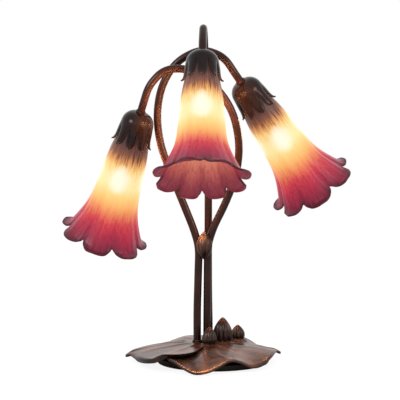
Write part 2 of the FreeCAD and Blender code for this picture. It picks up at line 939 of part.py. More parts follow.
# The rim, from the lower side of its notch round to the upper side: angle about the leaf's
# centre, reach, height of the upper face, and depth of the turned-down hem.
RIM = [
    (-119, 88, 18.0, 3.2),
    (-112, 93, 16.5, 3.2),
    (-104, 95, 9.5, 3.2),
    (-96, 97, 4.8, 3.0),
    (-87, 95, 6.5, 3.0),
    (-79, 91, 11.5, 3.2),
    (-70, 90, 17.5, 3.2),
    (-61, 89, 14.0, 3.2),
    (-52, 92, 8.0, 3.2),
    (-42, 93, 9.5, 3.4),
    (-31, 92, 15.5, 3.4),
    (-18, 89, 17.8, 3.4),
    (-6, 88, 16.0, 3.4),
    (0, 93, 12.5, 3.4),
    (6, 88, 14.5, 3.4),
    (20, 89, 10.5, 3.4),
    (38, 91, 9.0, 3.4),
    (51, 92, 15.5, 3.4),
    (62, 91, 20.0, 3.4),
    (76, 89, 15.5, 3.4),
    (90, 91, 17.5, 3.4),
    (104, 92, 17.5, 3.4),
    (116, 90, 13.5, 3.4),
    (129, 90, 7.5, 3.4),
    (143, 89, 7.5, 3.4),
    (156, 88, 10.0, 3.4),
    (168, 87, 12.5, 3.4),
    (176, 89, 12.5, 3.4),
    (181, 95, 9.0, 3.4),
    (186, 89, 11.5, 3.6),
    (196, 86, 12.0, 5.0),
    (206, 87, 12.5, 6.0),
    (218, 89, 13.5, 6.0),
    (228, 91, 16.0, 6.0),
    (234, 92, 20.0, 5.5),
    (238, 92, 22.5, 5.0),
]
ROWS_PER_RIM_POINT = 2
VEINS = 12
leaf_hub = Vector(mm("leaf_hub_x"), mm("leaf_hub_y"), 0)
boss_radius = cell("leaf_boss_radius")


def rim_row(position):
    """The rim's point and hem at a place along the table, by a smooth curve through its rows."""
    index = min(int(position), len(RIM) - 2)
    share = position - index
    rows = [RIM[min(max(index + step, 0), len(RIM) - 1)] for step in (-1, 0, 1, 2)]
    values = []
    for a, b, c, d in zip(*rows):
        bend = (2 * a - 5 * b + 4 * c - d) * share**2 + (3 * b - a - 3 * c + d) * share**3
        values.append(b + 0.5 * ((c - a) * share + bend))
    return values


def leaf_section(position, thin):
    """The closed section of the leaf from its boss to one point of the rim."""
    angle, reach, height, hem = rim_row(position)
    turn = math.radians(angle)
    rim = Vector(mm("leaf_center_x") + reach * math.cos(turn), reach * math.sin(turn), 0)
    way = rim - leaf_hub
    length = way.Length
    way.normalize()
    hub_height = mm("leaf_hub_height")
    thick = mm("leaf_thickness") * thin
    heading = math.atan2(way.y, way.x)
    vein = mm("leaf_vein_height") * math.cos(VEINS * heading)

    def upper(share):
        fall = share**4.2
        ridge = vein * math.sin(math.pi * min(share * 1.05, 1.0)) ** 0.7
        return hub_height + (height - hub_height) * fall + ridge

    inner = 15.0 / length
    shares = [inner, 0.32, 0.48, 0.62, 0.74, 0.85, 0.94]
    top = [(share * length, upper(share)) for share in shares]
    bottom = [(run, level - thick) for run, level in top]
    lip = [
        (length - 1.0, height + 0.2),
        (length + 0.6, height - 0.9),
        (length + 0.4, height - hem * thin),
        (length - 2.0 * thin, height - hem * thin),
        (length - 3.4 * thin, height - thick * 1.05),
    ]
    outline = top + lip + bottom[::-1]
    return [leaf_hub + way * run + Vector(0, 0, level) for run, level in outline]


steps = ROWS_PER_RIM_POINT * (len(RIM) - 1)
sections = [leaf_section(step / ROWS_PER_RIM_POINT, 1.0) for step in range(steps + 1)]
sections.insert(0, leaf_section(0, 0.45))
sections.append(leaf_section(len(RIM) - 1, 0.45))
blade_face = skin(sections, False).toShape()
end_edges = [edge for edge in blade_face.Edges if edge.isClosed() and len(edge.Vertexes) == 1]
ends = []
for edge in end_edges:
    flat = Part.Wire([edge])
    plane = flat.findPlane()
    if plane is not None:
        ends.append(Part.Face(flat))
blade = custom("leaf_blade", solid_of([blade_face] + ends))

BUDS = {
    "bud_large": (12.4, 33.0, "bud_radius", "bud_height"),
    "bud_front": (-4.2, 9.0, "small_bud_radius", "small_bud_height"),
    "bud_back": (31.6, 50.0, "rear_bud_radius", "rear_bud_height"),
}
boss = cylinder(
    "leaf_boss",
    boss_radius,
    cell("leaf_boss_height"),
    at(leaf_hub.x, leaf_hub.y, top_height.number),
)
pads = []
for name, (x, y, radius_name, _) in BUDS.items():
    pads.append(
        cylinder(
            f"{name}_pad",
            cell(radius_name) + 0.8,
            cell("leaf_boss_height") - 1.6,
            at(x, y, top_height.number + 1.6),
        )
    )
leaf_seats = boolean("Part::MultiFuse", "leaf_seats", boss, pads)
leaf_blank = boolean("Part::MultiFuse", "leaf_blank", blade, [leaf_seats])
leaf_drills = [
    cylinder(
        f"leaf_drill_{light}",
        hole,
        cell("leaf_boss_height") + 4.0,
        at(*FEET[light], top_height.number - 2.0),
    )
    for light in LIGHTS
]
leaf_tools = boolean("Part::MultiFuse", "leaf_tools", leaf_drills[0], leaf_drills[1:])
boolean("Part::Cut", "leaf_base", leaf_blank, [leaf_tools])


# ---------------------------------------------------------------- buds


# A bud's outline: share of its height and share of its radius.
BUD_OUTLINE = [
    (0.0, 0.94),
    (0.08, 0.99),
    (0.26, 1.05),
    (0.50, 0.95),
    (0.72, 0.66),
    (0.90, 0.36),
    (0.98, 0.14),
    (1.0, 0.03),
]
FLUTES = {"bud_large": 10, "bud_front": 8, "bud_back": 8}
POINTS_PER_FLUTE = 4
FLUTE_DEPTH = 0.07


def fluted_bud(radius, height, flutes):
    """A closed bud: scalloped sections that draw in to a point."""
    rings = []
    for level, share in BUD_OUTLINE:
        ring = []
        for step in range(POINTS_PER_FLUTE * flutes):
            turn = 2 * math.pi * step / (POINTS_PER_FLUTE * flutes)
            reach = radius * share * (1 - FLUTE_DEPTH * (1 - math.cos(flutes * turn)))
            ring.append(Vector(reach * math.cos(turn), reach * math.sin(turn), level * height))
        rings.append(ring)
    side = skin(rings, False).toShape()
    ends = [Part.Face(Part.Wire([edge])) for edge in side.Edges if edge.isClosed()]
    return solid_of([side] + ends)


for name, (x, y, radius_name, height_name) in BUDS.items():
    custom(name, fluted_bud(mm(radius_name), mm(height_name), FLUTES[name]), at(x, y, boss_top))

tie_height, tie_radius = cell("tie_bud_height"), cell("tie_bud_radius")
tie_arc = (tie_height.number**2 / 4 + tie_radius.number**2) / (2 * tie_radius.number)
TIE_PLACE = Vector(-10.4, 12.6, 140.2)
tie_blank = turned(
    "tie_bud_blank",
    [
        (0, tie_height * -0.5),
        (tie_radius, 0, tie_arc, 1),
        (0, tie_height * 0.5, tie_arc, 1),
    ],
    Placement(TIE_PLACE, Rotation()),
)
reliefs = [
    custom(f"tube_relief_{light}", swept(tube_corners(light), tube_radius.number + 0.15))
    for light in ("left", "right")
]
behind = doc.addObject("Part::Box", "tie_bud_back")
for edge in ("Length", "Width"):
    behind.setExpression(edge, "sizes.tie_bud_radius * 6")
behind.setExpression("Height", "sizes.tie_bud_height + 10")
behind_start = TIE_PLACE - Vector(3 * tie_radius.number, 0, tie_height.number / 2 + 5.0)
behind.Placement = at(behind_start.x, 17.5, behind_start.z)
tie_tools = boolean("Part::MultiFuse", "tie_tools", behind, reliefs)
boolean("Part::Cut", "tie_bud", tie_blank, [tie_tools])

# ---------------------------------------------------------------- wiring inside the tubes

wire_radius = mm("wire_radius")
block_spot = Vector(6.0, -14.0, plate_top.number)
block = doc.addObject("Part::Box", "terminal_block")
block.Label = "terminal_block"
block.setExpression("Length", "sizes.block_length")
block.setExpression("Width", "sizes.block_width")
block.setExpression("Height", "sizes.block_height")
block.Placement = Placement(block_spot, Rotation())
block_back = block_spot.y + mm("block_width")
wire_level = plate_top.number + wire_radius + mm("clearance")
# where along the block each wire is clamped, and how far it runs before and after it turns up
CLAMPS = {"right": 4.0, "left": 9.0, "center": 14.0}
WIRE_RUN = 8.0
WIRE_RISE = 6.0
for light in LIGHTS:
    top, way = LIGHTS[light]
    x, y = FEET[light]
    clamp = block_spot.x + CLAMPS[light]
    under_foot = [
        Vector(clamp, block_back, wire_level),
        Vector(clamp, block_back + WIRE_RUN, wire_level),
        Vector(x, y, wire_level),
        Vector(x, y, wire_level + WIRE_RISE),
    ]
    in_tube = tube_corners(light)[:-1]
    at_socket = top + way * (mm("socket_floor_depth") - mm("contact_sink") - 0.5)
    custom(f"stem_wire_{light}", swept(under_foot + in_tube + [at_socket], wire_radius))

group("neck_collars", neck_collars)
group("neck_nipples", neck_nipples)
group("foot_collars", foot_collars)
group("foot_nipples", foot_nipples)
group("foot_washers", foot_washers)
group("foot_nuts", foot_nuts)
group("base_screws", screws)

# ---------------------------------------------------------------- check and write

PER_LIGHT = [
    "stem",
    "calyx",
    "socket_body",
    "socket_shell",
    "socket_contact",
    "shade_ring",
    "shade_glass",
    "bulb_cap",
    "bulb_glass",
    "bulb_filament",
    "stem_wire",
]
NODES = [f"{piece}_{light}" for piece in PER_LIGHT for light in LIGHTS] + [
    "leaf_base",
    "foot_drum",
    "ballast_ring",
    "base_plate",
    "felt_pad",
    "base_screws",
    "cord_bushing",
    "terminal_block",
    "bud_large",
    "bud_front",
    "bud_back",
    "tie_bud",
    "neck_collars",
    "neck_nipples",
    "foot_collars",
    "foot_nipples",
    "foot_washers",
    "foot_nuts",
]

doc.recompute()
for item in doc.Objects:
    if "Invalid" in item.State or "Error" in item.State:
        raise RuntimeError(f"{item.Name} failed: {item.State}")

os.makedirs("parts", exist_ok=True)
for node in NODES:
    part = doc.getObject(node)
    shape = part.Shape
    if shape.isNull() or not shape.isValid() or not shape.Solids:
        raise RuntimeError(f"{node} has no valid solid")
    shape.exportStep(f"parts/{node}.step")
    box = shape.BoundBox
    extent = f"z {box.ZMin:.1f} to {box.ZMax:.1f}"
    print(f"{node:22} {len(shape.Solids)} solid(s) {shape.Volume:10.0f} mm3  {extent}")
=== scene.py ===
import json
import math

import bpy
from mathutils import Matrix, Vector, noise

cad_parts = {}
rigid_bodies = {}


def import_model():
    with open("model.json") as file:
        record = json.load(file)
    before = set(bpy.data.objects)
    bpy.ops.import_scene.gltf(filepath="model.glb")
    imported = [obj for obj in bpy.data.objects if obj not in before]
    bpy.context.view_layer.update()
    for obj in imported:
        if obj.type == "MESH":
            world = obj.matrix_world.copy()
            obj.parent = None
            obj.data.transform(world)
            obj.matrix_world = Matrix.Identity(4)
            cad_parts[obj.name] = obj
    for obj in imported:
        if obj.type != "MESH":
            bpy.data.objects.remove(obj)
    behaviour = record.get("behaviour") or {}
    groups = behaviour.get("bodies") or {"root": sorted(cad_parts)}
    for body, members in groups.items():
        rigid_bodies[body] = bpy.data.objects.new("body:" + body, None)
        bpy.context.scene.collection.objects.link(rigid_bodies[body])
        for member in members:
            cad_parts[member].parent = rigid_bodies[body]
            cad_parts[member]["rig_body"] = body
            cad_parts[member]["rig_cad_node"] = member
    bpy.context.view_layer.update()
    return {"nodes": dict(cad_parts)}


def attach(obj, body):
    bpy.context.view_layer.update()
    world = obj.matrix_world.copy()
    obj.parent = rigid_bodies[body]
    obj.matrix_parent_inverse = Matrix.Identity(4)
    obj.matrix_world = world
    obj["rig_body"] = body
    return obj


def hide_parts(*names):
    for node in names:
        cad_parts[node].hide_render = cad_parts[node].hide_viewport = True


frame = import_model()

# ---- Weighted foot ------------------------------------------------------------------------------
# A pressed drum in dark bronze paint stands under the leaf on a felt-faced steel plate. A cast ring
# screwed to the plate weighs it down, and a moulded bushing lines the way in for the cord.
MM = 0.001


class Wire:
    """A shader socket that does sums: each operator adds the Math node that it stands for."""

    def __init__(self, finish, socket):
        self.finish = finish
        self.socket = socket

    def maths(self, operation, *terms):
        settings = {"operation": operation}
        return self.finish.node("ShaderNodeMath", settings, dict(enumerate(terms)))

    def __add__(self, other):
        return self.maths("ADD", self, other)

    def __sub__(self, other):
        return self.maths("SUBTRACT", self, other)

    def __rsub__(self, other):
        return self.maths("SUBTRACT", other, self)

    def __mul__(self, other):
        return self.maths("MULTIPLY", self, other)

    def __truediv__(self, other):
        return self.maths("DIVIDE", self, other)

    __radd__ = __add__
    __rmul__ = __mul__

    def fade(self, low, high):
        """0 up to low and 1 from high on, eased between; high may be the lower of the two."""
        sockets = {"Value": self, "From Min": low, "From Max": high}
        return self.finish.node("ShaderNodeMapRange", {"interpolation_type": "SMOOTHSTEP"}, sockets)


class Finish:
    """One procedural material: its Principled shader and the nodes that feed it."""

    def __init__(self, name, constants):
        self.material = bpy.data.materials.new(name)
        self.material.use_nodes = True
        self.tree = self.material.node_tree
        self.shader = self.tree.nodes["Principled BSDF"]
        self.feed(self.shader, constants)

    def feed(self, node, sockets):
        """Sets a node's sockets to values, or links wires to them."""
        for name, source in sockets.items():
            if isinstance(source, Wire):
                self.tree.links.new(source.socket, node.inputs[name])
            else:
                node.inputs[name].default_value = source

    def node(self, kind, settings, sockets, output=0):
        """Adds a node, its settings first and then its sockets, and gives one of its outputs."""
        added = self.tree.nodes.new(kind)
        for name, setting in settings.items():
            if name == "stops":
                ramp = added.color_ramp
                while len(ramp.elements) < len(setting):
                    ramp.elements.new(0.5)
                for element, (place, colour) in zip(ramp.elements, setting):
                    element.position = place
                    element.color = colour
            else:
                setattr(added, name, setting)
        self.feed(added, sockets)
        return Wire(self, added.outputs[output])

    def place(self):
        """The Object coordinates, which are the lamp's own frame in metres."""
        return self.node("ShaderNodeTexCoord", {}, {}, "Object")

    def clouds(self, scale, detail=4.0, rough=0.55, at=None, stretch=(1, 1, 1)):
        """Soft noise from 0 to 1, drawn out along an axis whose stretch is under 1."""
        spot = self.node("ShaderNodeMapping", {}, {"Vector": at or self.place(), "Scale": stretch})
        sockets = {"Vector": spot, "Scale": scale, "Detail": detail, "Roughness": rough}
        return self.node("ShaderNodeTexNoise", {}, sockets, 0)

    def blend(self, share, first, second):
        """A colour from first at 0 to second at 1."""
        return self.node("ShaderNodeMix", {"data_type": "RGBA"}, {0: share, 6: first, 7: second}, 2)

    def bump(self, height, depth, strength=1.0):
        """Roughens the shading by a height of 0 to 1 that stands for a depth in metres."""
        sockets = {"Height": height, "Distance": depth, "Strength": strength}
        self.feed(self.shader, {"Normal": self.node("ShaderNodeBump", {}, sockets)})


def paint(red, green, blue):
    """A colour as a screen shows it, 0 to 255, turned into the shader's linear values."""
    def linear(level):
        level = level / 255
        return level / 12.92 if level < 0.04045 else ((level + 0.055) / 1.055) ** 2.4

    return (linear(red), linear(green), linear(blue), 1.0)


def dress(finish, *nodes):
    """Gives CAD pieces a finish in place of the plain colour that they come with."""
    for name in nodes:
        piece = frame["nodes"][name].data
        piece.materials.clear()
        piece.materials.append(finish.material)


def bronze(name, dark, brown, copper, gloss, metal=0.85, wear=None, grain=1.0):
    """Bronze under a cloudy brown patina, turned to copper where its mark is high: rubbed wear, and
    on some pieces a painted glow of the warm lamp light. With no mark, copper shows in random
    rubbed patches.
    """
    finish = Finish(name, {"Metallic": metal, "Specular IOR Level": 0.4})
    cloud = finish.clouds(34.0, detail=6.0, rough=0.62)
    speck = finish.clouds(420.0, detail=3.0, rough=0.7)
    patina = finish.blend(cloud.fade(0.34, 0.66), dark, brown)
    # The mark holds rubbed wear and, on the leaf and the buds, a painted warm glow of the lit
    # glasses.
    if wear:
        wear_and_glow_level = finish.node("ShaderNodeAttribute", {"attribute_name": wear}, {}, "Fac")
        copper_share = (wear_and_glow_level + (speck - 0.5) * 0.35 * grain).fade(0.25, 0.95)
    else:
        copper_share = cloud * (1 - 0.5 * grain) + speck * (0.5 * grain)
        copper_share = copper_share.fade(0.60, 0.74) * 0.45
    finish.feed(
        finish.shader,
        {
            "Base Color": finish.blend(copper_share, patina, copper),
            "Roughness": gloss + (cloud - 0.5) * 0.16 + (speck - 0.5) * 0.10 * grain,
        },
    )
    finish.bump(speck * 0.6 + cloud * 0.4, 0.00012 * grain)
    return finish


def plain(name, colour, mottle, gloss, metal=0.0, scale=160.0, depth=0.00006):
    """A moulded, plated or cast finish: one colour, finely mottled and grained."""
    finish = Finish(name, {"Metallic": metal})
    grain = finish.clouds(scale, detail=5.0, rough=0.6)
    finish.feed(
        finish.shader,
        {
            "Base Color": finish.blend(grain, colour, mottle),
            "Roughness": gloss + (grain - 0.5) * 0.2,
        },
    )
    finish.bump(grain, depth)
    return finish


DRUM_DARK = paint(30, 20, 12)
DRUM_BROWN = paint(44, 30, 19)
DRUM_COPPER = paint(104, 62, 38)
dress(bronze("drum_paint", DRUM_DARK, DRUM_BROWN, DRUM_COPPER, 0.42, metal=0.6), "foot_drum")

plated = plain("zinc_plating", paint(172, 172, 170), paint(138, 140, 143), 0.36, metal=1.0)
dress(plated, "base_plate", "base_screws")
cast_iron = plain("cast_iron", paint(62, 62, 64), paint(38, 38, 40), 0.7, metal=0.7, depth=0.0003)
dress(cast_iron, "ballast_ring")
black_moulding = plain("black_moulding", paint(26, 26, 27), paint(16, 16, 17), 0.5)
dress(black_moulding, "cord_bushing")
felt = plain("pressed_felt", paint(40, 52, 42), paint(22, 30, 24), 0.95, scale=900.0, depth=0.0006)
dress(felt, "felt_pad")

# ---- Lily leaf ----------------------------------------------------------------------------------
# One casting in aged bronze: a lily pad with a waved rim, raised veins, a notch whose upper lobe
# laps over the lower one, and a mound in the middle that carries the tubes and the buds.

# The rim, from the notch's lower lobe round to its upper one: angle about the leaf's centre in
# degrees, reach, height of the upper face, and depth of the turned-down hem, in mm.
LEAF_RIM = [
    (-119, 88, 18.0, 3.2),
    (-112, 93, 16.5, 3.2),
    (-104, 95, 9.5, 3.2),
    (-96, 97, 4.8, 3.0),
    (-87, 95, 6.5, 3.0),
    (-79, 91, 11.5, 3.2),
    (-70, 90, 17.5, 3.2),
    (-61, 89, 14.0, 3.2),
    (-52, 92, 8.0, 3.2),
    (-42, 93, 9.5, 3.4),
    (-31, 92, 15.5, 3.4),
    (-18, 89, 17.8, 3.4),
    (-6, 88, 16.0, 3.4),
    (0, 93, 12.5, 3.4),
    (6, 88, 14.5, 3.4),
    (20, 89, 10.5, 3.4),
    (38, 91, 9.0, 3.4),
    (51, 92, 15.5, 3.4),
    (62, 91, 20.0, 3.4),
    (76, 89, 15.5, 3.4),
    (90, 91, 17.5, 3.4),
    (104, 92, 17.5, 3.4),
    (116, 90, 13.5, 3.4),
    (129, 90, 7.5, 3.4),
    (143, 89, 7.5, 3.4),
    (156, 88, 10.0, 3.4),
    (168, 87, 12.5, 3.4),
    (176, 89, 12.5, 3.4),
    (181, 95, 9.0, 3.4),
    (186, 89, 11.5, 3.6),
    (196, 86, 12.0, 5.0),
    (206, 87, 12.5, 6.0),
    (218, 89, 13.5, 6.0),
    (228, 91, 16.0, 6.0),
    (234, 92, 20.0, 5.5),
    (238, 92, 22.5, 5.0),
]
LEAF_CENTER = Vector((-11.0, 0.0, 0.0))
LEAF_HUB = Vector((-10.0, 26.0, 0.0))
LEAF_HUB_HEIGHT = 19.6
LEAF_THICKNESS = 2.8
LEAF_FALL = 3.2
MOUND_RADIUS = 24.0
SEAT_HEIGHT = 20.5
INNER_RUN = 3.0
VEINS = 12
VEIN_HEIGHT = 1.1
VEIN_WIDTH = 0.16
# How far the upper lobe's edge swings over the lower lobe, in degrees about the hub, and how far
# the lower lobe dips to pass under it.
LAP_SWING = 27.0
LAP_SHARE = 0.14
LAP_DIP = 4.6

# Where each bud stands, its radius and height in mm, and how many flutes it has.
BUDS = {
    "bud_large": (Vector((12.4, 33.0, 0.0)), 11.6, 29.0, 10),
    "bud_front": (Vector((-4.2, 9.0, 0.0)), 8.8, 20.5, 8),
    "bud_back": (Vector((31.6, 50.0, 0.0)), 8.6, 17.0, 8),
}


def ease(share):
    """A share from 0 to 1 eased at both ends."""
    share = min(max(share, 0.0), 1.0)
    return share * share * (3 - 2 * share)


def along_table(table, place):
    """A row read smoothly between a table's rows; place counts rows."""
    index = min(int(place), len(table) - 2)
    share = place - index
    rows = [table[min(max(index + step, 0), len(table) - 1)] for step in (-1, 0, 1, 2)]
    row = []
    for a, b, c, d in zip(*rows):
        bend = (2 * a - 5 * b + 4 * c - d) * share**2 + (3 * b - a - 3 * c + d) * share**3
        row.append(b + 0.5 * ((c - a) * share + bend))
    return row


def formed_grid(name, across, along, form, joined=True):
    """A flat grid shaped by form(u, v), both from 0 to 1; joined closes the seam at u = 0."""
    bpy.ops.object.select_all(action="DESELECT")
    bpy.ops.mesh.primitive_grid_add(x_subdivisions=across, y_subdivisions=along, size=1)
    piece = bpy.context.object
    piece.name = piece.data.name = name
    for vertex in piece.data.vertices:
        vertex.co = Vector(form(vertex.co.x + 0.5, vertex.co.y + 0.5)) * MM
    if joined:
        bpy.ops.object.mode_set(mode="EDIT")
        bpy.ops.mesh.select_all(action="SELECT")
        bpy.ops.mesh.remove_doubles(threshold=1e-6)
        bpy.ops.mesh.normals_make_consistent(inside=False)
        bpy.ops.object.mode_set(mode="OBJECT")
    bpy.ops.object.shade_smooth()
    return piece


def mark(piece, name, measure):
    """Stores a number from 0 to 1 at each point of a piece, for its finish to read."""
    marks = piece.data.attributes.new(name, "FLOAT", "POINT")
    for vertex in piece.data.vertices:
        marks.data[vertex.index].value = min(max(measure(vertex.co / MM), 0.0), 1.0)


def fit(piece, body, slot, finish, *nodes):
    """Finishes a piece, seats it on its body and lets it stand for its CAD nodes."""
    piece.data.materials.append(finish.material)
    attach(piece, body)
    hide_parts(*nodes)


def vein_at(heading):
    """How near a heading from the hub is to a vein: 1 on it, falling to 0 between two."""
    phase = (heading * VEINS / math.tau) % 1.0
    return math.exp(-((min(phase, 1 - phase) / VEIN_WIDTH) ** 2))


def leaf_top(spot, share, rim_height, v):
    """Height of the leaf's upper face at a spot: share runs from the hub out, v along the rim."""
    way = spot - LEAF_HUB
    heading = math.atan2(way.y, way.x)
    level = LEAF_HUB_HEIGHT + (rim_height - LEAF_HUB_HEIGHT) * share**LEAF_FALL
    swell = math.sin(math.pi * min(share * 1.04, 1.0)) ** 0.6
    level += VEIN_HEIGHT * swell * (vein_at(heading) - 0.35)
    level += 0.5 * swell * noise.noise(spot * 0.045)
    under = math.sin(math.pi * min(max((share - 0.08) / 0.9, 0), 1)) ** 0.6
    level -= LAP_DIP * (1 - ease(v / LAP_SHARE)) * under
    seat = 1 - ease((way.length - MOUND_RADIUS + 4) / 9)
    for place, radius, _, _ in BUDS.values():
        seat = max(seat, 1 - ease(((spot - place).length - radius) / 6))
    return level + (SEAT_HEIGHT - level) * seat


# The steps of the leaf's section: out over the top, round the lip and back underneath. Then how far
# in from the rim the top ends and the underside starts, in mm.
TOP_STEPS = 46
LIP_STEPS = 6
BACK_STEPS = 12
LEAF_SECTION = TOP_STEPS + LIP_STEPS + BACK_STEPS
TOP_INSET = 1.6
BACK_INSET = 4.5
# Beside the notch the leaf thins to this share of its thickness, over this share of the rim.
NOTCH_THIN = 0.25
NOTCH_TAPER = 0.012


def leaf_point(u, v):
    """A point of the leaf's skin: v runs along the rim, u out over the top and back underneath."""
    angle, reach, height, hem = along_table(LEAF_RIM, v * (len(LEAF_RIM) - 1))
    turn = math.radians(angle)
    rim = LEAF_CENTER + Vector((math.cos(turn), math.sin(turn), 0)) * reach
    way = rim - LEAF_HUB
    length = way.length
    way.normalize()
    lap = math.radians(LAP_SWING) * ease((v - 1 + LAP_SHARE) / LAP_SHARE) ** 1.5
    inner = INNER_RUN / length
    thin = NOTCH_THIN + (1 - NOTCH_THIN) * ease(min(v, 1 - v) / NOTCH_TAPER)
    step = u * LEAF_SECTION
    lip_end = TOP_STEPS + LIP_STEPS
    lip = [(-TOP_INSET, 0.15), (-1.2, 0.0), (0.4, -0.5), (0.7, -1.6)]
    lip += [(0.3, -hem * thin), (-1.6, -hem * thin), (-3.4, -3.0 * thin)]
    if step <= TOP_STEPS:
        share = inner + (1 - TOP_INSET / length - inner) * (step / TOP_STEPS) ** 0.9
    elif step < lip_end:
        spot = along_table(lip, step - TOP_STEPS)
        share = 1 + spot[0] / length
    else:
        back = (step - lip_end) / BACK_STEPS
        share = 1 - BACK_INSET / length
        share -= (share - inner) * back
    way.rotate(Matrix.Rotation(lap * max(1 - share, 0) ** 0.55, 3, "Z"))
    place = LEAF_HUB + way * share * length
    if TOP_STEPS < step < lip_end:
        return place + Vector((0, 0, height + spot[1]))
    level = leaf_top(place, share, height, v)
    if lip_end <= step < LEAF_SECTION:
        level -= LEAF_THICKNESS * thin
    return place + Vector((0, 0, level))


def leaf_wear_and_glow(spot):
    """Where the leaf turns copper: rubbed by hands and cloths on its veins and its rim, and a
    painted warm highlight of the lit glasses on its front point and in a hollow.
    """
    flat = Vector((spot.x, spot.y, 0))
    way = flat - LEAF_HUB
    out = (flat - LEAF_CENTER).length
    vein = vein_at(math.atan2(way.y, way.x)) * ease((way.length - 16) / 26) * 0.55
    rim = ease((out - 83) / 6) * 0.26
    # The front point and the hollow get a painted warm glow of the lit glasses.
    front = (1 - ease((flat - Vector((-26, -86, 0))).length / 26)) * 0.5
    painted_hollow_glow = (1 - ease((flat - Vector((38, 22, 0))).length / 20)) * 0.35
    return max(vein, rim, front, painted_hollow_glow) + 0.2 * noise.noise(spot * 0.08)


leaf = formed_grid("leaf", LEAF_SECTION, 8 * (len(LEAF_RIM) - 1), leaf_point)
mark(leaf, "wear", leaf_wear_and_glow)
LEAF_DARK = paint(36, 22, 19)
LEAF_BROWN = paint(76, 53, 45)
LEAF_COPPER = paint(112, 70, 52)
leaf_bronze = bronze(
    "leaf_bronze", LEAF_DARK, LEAF_BROWN, LEAF_COPPER, 0.28, metal=0.6, wear="wear", grain=0.4
)
fit(leaf, "root", "leaf_bronze", leaf_bronze, "leaf_base")

# ---- Lily buds ----------------------------------------------------------------------------------
# Three closed buds cast in bronze stand on the leaf beside the tubes. Each is fluted and draws in
# to a point. Its ribs are rubbed to copper, and its tip is painted red copper: rubbed wear, and a
# painted glow of the warm light from the glasses above.
BUD_OUTLINE = [
    (0.0, 0.90),
    (0.05, 0.97),
    (0.22, 1.04),
    (0.45, 0.97),
    (0.66, 0.76),
    (0.84, 0.46),
    (0.95, 0.20),
    (1.0, 0.0),
]
FLUTE_DEPTH = 0.20
BUD_DARK = paint(34, 25, 24)
BUD_BROWN = paint(74, 57, 53)
BUD_COPPER = paint(112, 60, 42)


def flute(turn, count):
    """A rounded rib between two narrow grooves: 0 in the groove and 1 on the rib."""
    return abs(math.cos(turn * count / 2)) ** 0.45


for name, (seat, radius, height, flutes) in BUDS.items():

    def bud_point(u, v):
        turn = math.tau * u
        level, share = along_table(BUD_OUTLINE, v * (len(BUD_OUTLINE) - 1))
        groove = FLUTE_DEPTH * (1 - flute(turn, flutes)) * ease(v / 0.12)
        reach = radius * max(share, 0.0) * (1 - groove)
        rise = SEAT_HEIGHT + level * height
        return seat + Vector((reach * math.cos(turn), reach * math.sin(turn), rise))

    def bud_wear_and_glow(spot):
        rise = (spot.z - SEAT_HEIGHT) / height
        way = spot - seat
        rib = flute(math.atan2(way.y, way.x), flutes)
        # The tip's copper is rubbed wear and a painted glow of the lights above; the ribs' copper
        # is rubbed wear.
        return ease((rise - 0.5) / 0.45) * 0.42 + ease((rib - 0.8) / 0.2) * 0.16

    bud = formed_grid(name + "_casting", 12 * flutes, 36, bud_point)
    mark(bud, "wear", bud_wear_and_glow)
    bud_bronze = bronze(
        name + "_bronze", BUD_DARK, BUD_BROWN, BUD_COPPER, 0.2, metal=0.8, wear="wear", grain=0.25
    )
    fit(bud, "root", "bud_bronze", bud_bronze, name)

# ---- Bent tubes ---------------------------------------------------------------------------------
# Three drawn tubes rise from the leaf, cross behind the tie bud and arch over to the lights. They
# are bent cold and then patinated, so they keep a satin copper sheen under the brown.
TUBE_DARK = paint(34, 15, 9)
TUBE_BROWN = paint(50, 24, 15)
TUBE_COPPER = paint(70, 35, 21)


def smooth_copy(node, name):
    """A copy of a CAD piece with its loose triangles joined, so that it shades smoothly."""
    piece = frame["nodes"][node].copy()
    piece.data = frame["nodes"][node].data.copy()
    piece.name = piece.data.name = name
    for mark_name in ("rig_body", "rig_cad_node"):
        if mark_name in piece:
            del piece[mark_name]
    piece.parent = None
    bpy.context.collection.objects.link(piece)
    bpy.ops.object.select_all(action="DESELECT")
    piece.select_set(True)
    bpy.context.view_layer.objects.active = piece
    bpy.ops.object.mode_set(mode="EDIT")
    bpy.ops.mesh.select_all(action="SELECT")
    bpy.ops.mesh.remove_doubles(threshold=1e-6)
    bpy.ops.object.mode_set(mode="OBJECT")
    bpy.ops.object.shade_smooth_by_angle(angle=math.radians(35))
    piece.data.materials.clear()
    return piece


tube_bronze = bronze(
    "tube_bronze", TUBE_DARK, TUBE_BROWN, TUBE_COPPER, 0.18, metal=0.45, grain=0.12
)
for light in ("left", "right", "center"):
    tube = smooth_copy(f"stem_{light}", f"bent_tube_{light}")
    fit(tube, "root", "tube_bronze", tube_bronze, f"stem_{light}")
dress(tube_bronze, "neck_collars", "foot_collars")
dress(plated, "neck_nipples", "foot_nipples", "foot_washers", "foot_nuts")

# ---- Tie bud ------------------------------------------------------------------------------------
# A slim bronze bud is fixed over the place where the tubes part. Its long petals overlap and meet
# in a point at both ends.
TIE_PLACE = Vector((-10.4, 12.6, 140.2))
TIE_RADIUS = 10.2
TIE_HEIGHT = 35.5
TIE_PETALS = 7
TIE_TURN = math.radians(-90 + 180 / TIE_PETALS)
TIE_DARK = paint(48, 33, 28)
TIE_BROWN = paint(84, 64, 56)
TIE_COPPER = paint(140, 92, 70)


def petal_overlap(turn):
    """Each petal rises across its width and drops at the edge that laps over the next."""
    return ((turn - TIE_TURN) * TIE_PETALS / math.tau) % 1.0


def tie_point(u, v):
    turn = math.tau * u
    spindle = math.sin(math.pi * v) ** 0.82
    lap = petal_overlap(turn)
    reach = TIE_RADIUS * spindle * (0.90 + 0.10 * lap**0.7 * ease((1 - lap) / 0.12))
    level = (v - 0.5) * TIE_HEIGHT
    return TIE_PLACE + Vector((reach * math.cos(turn), reach * math.sin(turn) * 0.96, level))


